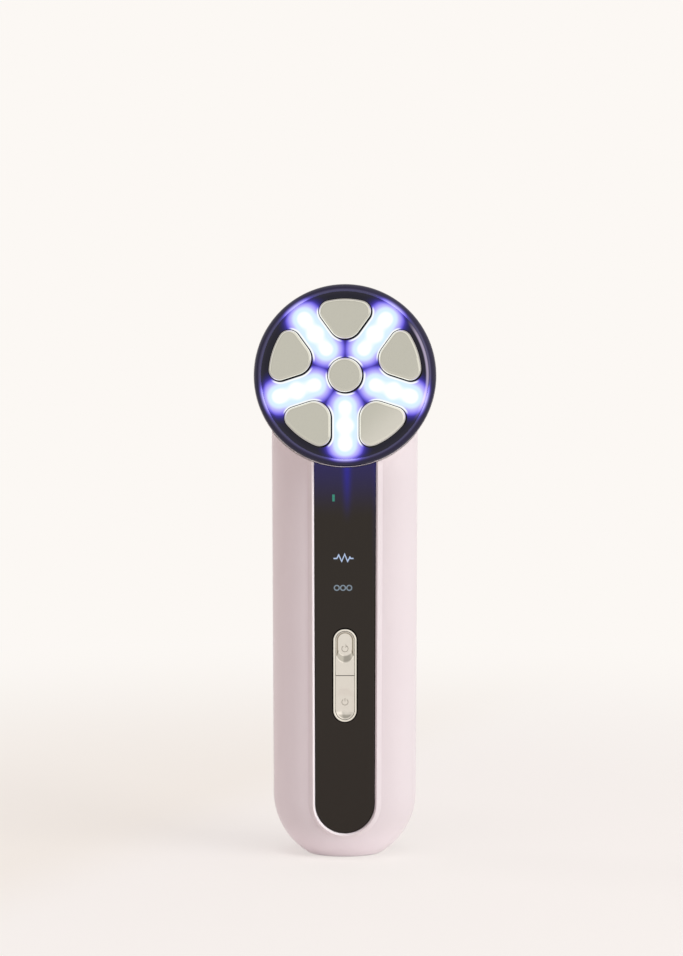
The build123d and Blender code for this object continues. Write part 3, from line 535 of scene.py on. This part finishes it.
looks = {
    "shell": shell_look(),
    "panel": panel_look(),
    "trim": key_look(),
    "frame": metal("trim_polished", (0.86, 0.83, 0.75), 0.12, 0.4, 0.0005),
    "electrode": electrode_look(),
    "bezel": bezel_look(),
    "lens": lens_look(),
    "mark_teal": mark_look("mark_teal", linear(24, 132, 112)),
    "mark_bright": mark_look("mark_bright", linear(178, 198, 232)),
    "mark_dim": mark_look("mark_dim", linear(122, 138, 152)),
    # painted shadow: black for the line laid along the seam round the trim
    "seam": moulded("seam_painted_shadow", (0.004, 0.0035, 0.003), (0.003, 0.0025, 0.002), 0.85, 0.3, 0.004),
    "engraving": metal("engraving_dark", (0.40, 0.37, 0.32), 0.3, 0.4, 0.001),
    "light_guide": moulded("light_guide_frosted", (0.85, 0.90, 0.95), (0.80, 0.86, 0.92), 0.3, 0.3, 0.004),
    "seal": moulded("seal_foam", (0.03, 0.03, 0.03), (0.02, 0.02, 0.02), 0.85, 0.25, 0.03),
    "led": moulded("led_package", (0.88, 0.86, 0.74), (0.84, 0.83, 0.72), 0.35, 0.3, 0.003),
    "board": moulded("board_solder_resist", (0.015, 0.11, 0.045), (0.012, 0.085, 0.035), 0.35, 1.2, 0.006),
    "contact": metal("contact_plated", (0.80, 0.72, 0.55), 0.22, 0.3, 0.001),
    "ribbon": moulded("ribbon_film", (0.82, 0.80, 0.72), (0.77, 0.74, 0.66), 0.45, 1.0, 0.01),
    "switch": moulded("switch_moulded", (0.02, 0.02, 0.02), (0.015, 0.015, 0.015), 0.5, 0.15, 0.006),
    "plunger": moulded("plunger_moulded", (0.80, 0.74, 0.60), (0.76, 0.70, 0.56), 0.45, 0.15, 0.006),
    "coil": moulded("coil_ferrite", (0.06, 0.045, 0.04), (0.05, 0.04, 0.035), 0.6, 0.2, 0.02),
    "can": metal("can_aluminium", (0.70, 0.70, 0.72), 0.3, 0.2, 0.003),
    "battery": moulded("battery_pouch", (0.45, 0.47, 0.50), (0.41, 0.43, 0.46), 0.38, 1.8, 0.03),
    "tray": moulded("tray_natural", (0.80, 0.80, 0.78), (0.76, 0.76, 0.74), 0.5, 0.2, 0.008),
    "lead": moulded("lead_insulation", (0.35, 0.015, 0.012), (0.30, 0.012, 0.01), 0.45, 0.4, 0.008),
    "screw": metal("screw_plated", (0.55, 0.55, 0.57), 0.28, 0.2, 0.002),
}
looks["seam"].set("Specular IOR Level", 0.1)

slots = {part["node"]: part["material_slot"] for part in frame["record"]["subparts"]}
slots["button_trim"] = "frame"
for name, piece in frame["nodes"].items():
    for slot in piece.material_slots:
        slot.material = looks[slots[name]].material


def mend_normals(piece, least=0.85):
    """A modifier that turns corners' normals far off their own face, left by slivers, back to the face's."""
    group = bpy.data.node_groups.new(piece.name + "_normals", "GeometryNodeTree")
    for way in ("INPUT", "OUTPUT"):
        group.interface.new_socket("Geometry", in_out=way, socket_type="NodeSocketGeometry")
    start = group.nodes.new("NodeGroupInput")
    end = group.nodes.new("NodeGroupOutput")
    normal = group.nodes.new("GeometryNodeInputNormal")
    match = group.nodes.new("ShaderNodeVectorMath")
    match.operation = "DOT_PRODUCT"
    stray = group.nodes.new("ShaderNodeMath")
    stray.operation = "LESS_THAN"
    stray.inputs[1].default_value = least
    choice = group.nodes.new("ShaderNodeMix")
    choice.data_type = "VECTOR"
    write = group.nodes.new("GeometryNodeSetMeshNormal")
    write.mode = "FREE"
    write.domain = "CORNER"
    for source, target in (
        (normal.outputs["Normal"], match.inputs[0]),
        (normal.outputs["True Normal"], match.inputs[1]),
        (match.outputs["Value"], stray.inputs[0]),
        (stray.outputs[0], choice.inputs[0]),
        (normal.outputs["Normal"], choice.inputs[4]),
        (normal.outputs["True Normal"], choice.inputs[5]),
        (start.outputs[0], write.inputs["Mesh"]),
        (choice.outputs[1], write.inputs["Custom Normal"]),
        (write.outputs[0], end.inputs[0]),
    ):
        group.links.new(source, target)
    piece.modifiers.new("mend_normals", "NODES").node_group = group


mend_normals(frame["nodes"]["front_housing"])


# ---------------------------------------------------------------- small marks
def add_mark(name, body, look, loops, surface):
    """Thin ribbons, each a closed loop of (x, z) in millimetres, laid on the surface y = surface(x, z)."""
    mesh = bpy.data.meshes.new(name)
    drawing = bmesh.new()
    for loop in loops:
        root, top = [
            [drawing.verts.new((x * MM, (surface(x, z) - lift) * MM, z * MM)) for x, z in loop]
            for lift in (-INK_ROOT, INK)
        ]
        count = len(loop)
        # the first half of a loop runs one way and its second half back
        for index in range(count // 2 - 1):
            far = count - 1 - index
            drawing.faces.new((top[index], top[index + 1], top[far - 1], top[far]))
            drawing.faces.new((root[far], root[far - 1], root[index + 1], root[index]))
        for index in range(count):
            after = (index + 1) % count
            drawing.faces.new((root[index], root[after], top[after], top[index]))
    bmesh.ops.recalc_face_normals(drawing, faces=drawing.faces)
    drawing.to_mesh(mesh)
    drawing.free()
    piece = bpy.data.objects.new(name, mesh)
    scene.collection.objects.link(piece)
    mesh.materials.append(looks[look].material)
    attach(piece, body)


def ribbon(points, width):
    """The outline of a line of that width through the points, as one closed loop."""
    left, right = [], []
    for index, (x, z) in enumerate(points):
        before = points[max(index - 1, 0)]
        after = points[min(index + 1, len(points) - 1)]
        first = Vector((x - before[0], z - before[1]))
        last = Vector((after[0] - x, after[1] - z))
        first = first.normalized() if first.length else last.normalized()
        last = last.normalized() if last.length else first
        middle = (first + last).normalized()
        reach = width / 2 / max(middle.dot(first), 0.5)
        left.append((x - middle.y * reach, z + middle.x * reach))
        right.append((x + middle.y * reach, z - middle.x * reach))
    return left + right[::-1]


def arc(middle, radius, start, end, steps=24):
    """Points along an arc, in degrees from the upright."""
    turns = [math.radians(start + (end - start) * step / steps) for step in range(steps + 1)]
    return [(middle[0] + radius * math.sin(turn), middle[1] + radius * math.cos(turn)) for turn in turns]


def on_panel(x, z):
    return -PANEL_FRONT


def in_dish(x, z):
    return -KEY_FLOOR


def in_scoop(x, z):
    return math.sqrt(SCOOP_RADIUS**2 - x * x) - SCOOP_RADIUS - SCOOP_FLOOR


# battery level, and the marks of the two functions: a pulse and three lights
BAR_WIDTH = 0.75
PULSE_WIDTH = 0.4
RING_MIDDLES = ((-2.5, 84.1), (-0.6, 84.1), (1.3, 84.1))
RING_RADIUS = 0.75
RING_WIDTH = 0.36
battery_bar = [(-3.5, 110.55), (-3.5, 112.65)]
bar = ribbon(battery_bar, BAR_WIDTH)
add_mark("battery_level_mark", "body", "mark_teal", [bar], on_panel)
pulse = [
    (-3.5, 93.1),
    (-2.5, 93.1),
    (-1.9, 94.2),
    (-1.0, 92.2),
    (-0.1, 94.4),
    (0.8, 92.2),
    (1.5, 93.5),
    (1.8, 93.1),
    (2.6, 93.1),
]
add_mark("pulse_mark", "body", "mark_bright", [ribbon(pulse, PULSE_WIDTH)], on_panel)
rings = [ribbon(arc(middle, RING_RADIUS, 0, 360), RING_WIDTH) for middle in RING_MIDDLES]
add_mark("lights_mark", "body", "mark_dim", rings, on_panel)

# painted shadow: a black line laid on the panel along the seam between the trim and the panel
seam = arc((0.0, SEAM_MIDDLE + SEAM_HALF), SEAM_RADIUS, -90, 90)
seam += arc((0.0, SEAM_MIDDLE - SEAM_HALF), SEAM_RADIUS, 90, 270)
add_mark("trim_seam_shadow", "body", "seam", [ribbon(seam + seam[:1], SEAM_WIDTH)], on_panel)

# engraved signs on the keys: a turning arrow for the mode and the usual sign for power
MODE_SIGN_DROP = 0.5  # below the middle of its key
POWER_SIGN_RISE = 0.4  # above the middle of its key
SIGN_RADIUS = 0.95
SIGN_WIDTH = 0.22
ARROW_WIDTH = 0.2
z = KEY_MIDDLES[0] - MODE_SIGN_DROP
turning = ribbon(arc((0.0, z), SIGN_RADIUS, 40, 330), SIGN_WIDTH)
arrowhead = ribbon([(0.1, z + 1.25), (0.62, z + 0.72), (0.0, z + 0.45)], ARROW_WIDTH)
add_mark("mode_sign", "mode_key", "engraving", [turning, arrowhead], in_dish)
z = KEY_MIDDLES[1] + POWER_SIGN_RISE
open_ring = ribbon(arc((0.0, z), SIGN_RADIUS, 35, 325), SIGN_WIDTH)
stroke = ribbon([(0.0, z + 1.2), (0.0, z + 0.2)], SIGN_WIDTH)
add_mark("power_sign", "power_key", "engraving", [open_ring, stroke], in_scoop)

# ---------------------------------------------------------------- studio
# floor that runs out of sight and turns into the pale background, just below the base that stands on it
FLOOR_HALF = 6.0
FLOOR_HEIGHT = -0.05 * MM
floor_mesh = bpy.data.meshes.new("studio_floor")
drawing = bmesh.new()
bmesh.ops.create_grid(drawing, x_segments=8, y_segments=8, size=FLOOR_HALF)
drawing.to_mesh(floor_mesh)
drawing.free()
floor = bpy.data.objects.new("studio_floor", floor_mesh)
floor.location.z = FLOOR_HEIGHT
scene.collection.objects.link(floor)


# painted shadow: the paper on the left is darker and warmer, where the device's shadow falls
PAPER_LEFT_SHADED = (0.90, 0.84, 0.73)
PAPER_RIGHT = (0.98, 0.96, 0.92)
PAPER_SLANT = (1, -0.45, 0)  # the way from the left part to the right one
PAPER_MIDDLE = (-0.10, -0.04)
PAPER_REACH = (0.05, 0.5)  # in metres, as these are


def paper_material():
    """Paper with painted shadow, darker and warmer on the left than on the right, that turns into the
    background far from the device.
    """
    look = Look("studio_paper", PAPER_RIGHT, Roughness=0.9, Specular_IOR_Level=0.0)
    place = look.place()
    side = look.node("ShaderNodeVectorMath", place, PAPER_SLANT, operation="DOT_PRODUCT", output="Value")
    right = look.between(side, *PAPER_MIDDLE, smooth=True)
    look.set("Base Color", look.mix(right, PAPER_LEFT_SHADED, PAPER_RIGHT))
    away = look.node("ShaderNodeVectorMath", place, operation="LENGTH", output="Value")
    far = look.between(away, *PAPER_REACH, 0.55, 1.0, smooth=True)
    ray = look.outputs("ShaderNodeLightPath")
    seen = look.math("MAXIMUM", ray["Is Glossy Ray"], ray["Is Transmission Ray"])
    seen = look.math("MAXIMUM", ray["Is Camera Ray"], seen)
    background = look.node("ShaderNodeEmission", (*BACKGROUND, 1))
    paper = look.shader.outputs[0]
    joined = look.node("ShaderNodeMixShader", look.math("MULTIPLY", far, seen), paper, background)
    look.feed(look.tree.nodes["Material Output"].inputs["Surface"], joined)
    return look.material


floor_mesh.materials.append(paper_material())

# the surroundings are pale for the camera, and dimmer and pinker as light on matt surfaces, most of all from
# the left. Gloss sees a pale front, a dimmer band round it and bright sides, which reach furthest forward on
# the right.
AMBIENT = 0.45
LIGHT_FROM_LEFT = (0.69, 0.435, 0.49)
LIGHT_FROM_RIGHT = (1.0, 0.97, 0.96)
GLOSS_SIDES = 1.3
GLOSS_RIGHT = 1.3
GLOSS = ((0.0, 1.3), (0.45, 1.3), (0.65, 0.82), (0.86, 0.82), (0.95, 0.93))
world = bpy.data.worlds.new("studio")
scene.world = world
world.use_nodes = True
sky = Nodes(world.node_tree)
ray = sky.outputs("ShaderNodeLightPath")
direction = sky.tree.nodes.new("ShaderNodeSeparateXYZ")
sky.feed(direction.inputs[0], sky.outputs("ShaderNodeTexCoord")["Generated"])
direction = direction.outputs
forward = sky.math("MULTIPLY", direction["Y"], -1.0)
rightward = sky.math("MAXIMUM", direction["X"], 0.0)
forward = sky.math("MULTIPLY_ADD", rightward, -GLOSS_RIGHT, forward)
bands = sky.ramp(forward, [(at, (level / GLOSS_SIDES,) * 3) for at, level in GLOSS])
gloss = sky.math("MULTIPLY", bands, GLOSS_SIDES)
strength = sky.math("MULTIPLY", ray["Is Diffuse Ray"], AMBIENT)
strength = sky.math("MULTIPLY_ADD", ray["Is Glossy Ray"], gloss, strength)
seen = sky.math("MAXIMUM", ray["Is Camera Ray"], ray["Is Transmission Ray"])
strength = sky.math("MAXIMUM", strength, seen)
from_left = sky.math("MULTIPLY_ADD", direction["X"], 0.5, 0.5)
tint = sky.ramp(from_left, [(0.0, LIGHT_FROM_LEFT), (1.0, LIGHT_FROM_RIGHT)])
tint = sky.mix(ray["Is Diffuse Ray"], BACKGROUND, tint)
sky.feed(sky.tree.nodes["Background"].inputs["Color"], tint)
sky.feed(sky.tree.nodes["Background"].inputs["Strength"], strength)


def lamp(name, place, target, size, level):
    """A square soft lamp that gives a white surface facing it that level of brightness at the target."""
    light = bpy.data.lights.new(name, "AREA")
    light.size = size
    away = Vector(target) - Vector(place)
    light.energy = level * math.pi**2 * away.length_squared
    holder = bpy.data.objects.new(name, light)
    holder.location = place
    holder.rotation_euler = away.to_track_quat("-Z", "Y").to_euler()
    holder.visible_glossy = False
    scene.collection.objects.link(holder)


lamp("key_lamp", (1.35, -0.85, 0.65), (0, 0, 0.09), 1.1, 0.50)
lamp("top_lamp", (-0.05, -0.25, 1.6), (0, 0, 0.09), 1.0, 0.34)
lamp("left_rim_lamp", (-1.3, 0.45, 0.35), (0, 0, 0.12), 0.4, 0.16)
lamp("low_front_lamp", (0.10, -1.3, 0.05), (0, 0, 0.03), 0.8, 0.08)

# ---------------------------------------------------------------- camera
CAMERA_PLACE = (-0.004, -0.900, 0.1843)
CAMERA_DIP = 4.3
CAMERA_TURN = -0.19
eye = bpy.data.cameras.new("camera")
eye.sensor_fit = "VERTICAL"
eye.sensor_height = 24.0
eye.lens = 73.36
eye.clip_start = 0.01
camera = bpy.data.objects.new("camera", eye)
camera.location = CAMERA_PLACE
camera.rotation_euler = (math.radians(90 - CAMERA_DIP), 0, math.radians(CAMERA_TURN))
scene.collection.objects.link(camera)
scene.camera = camera
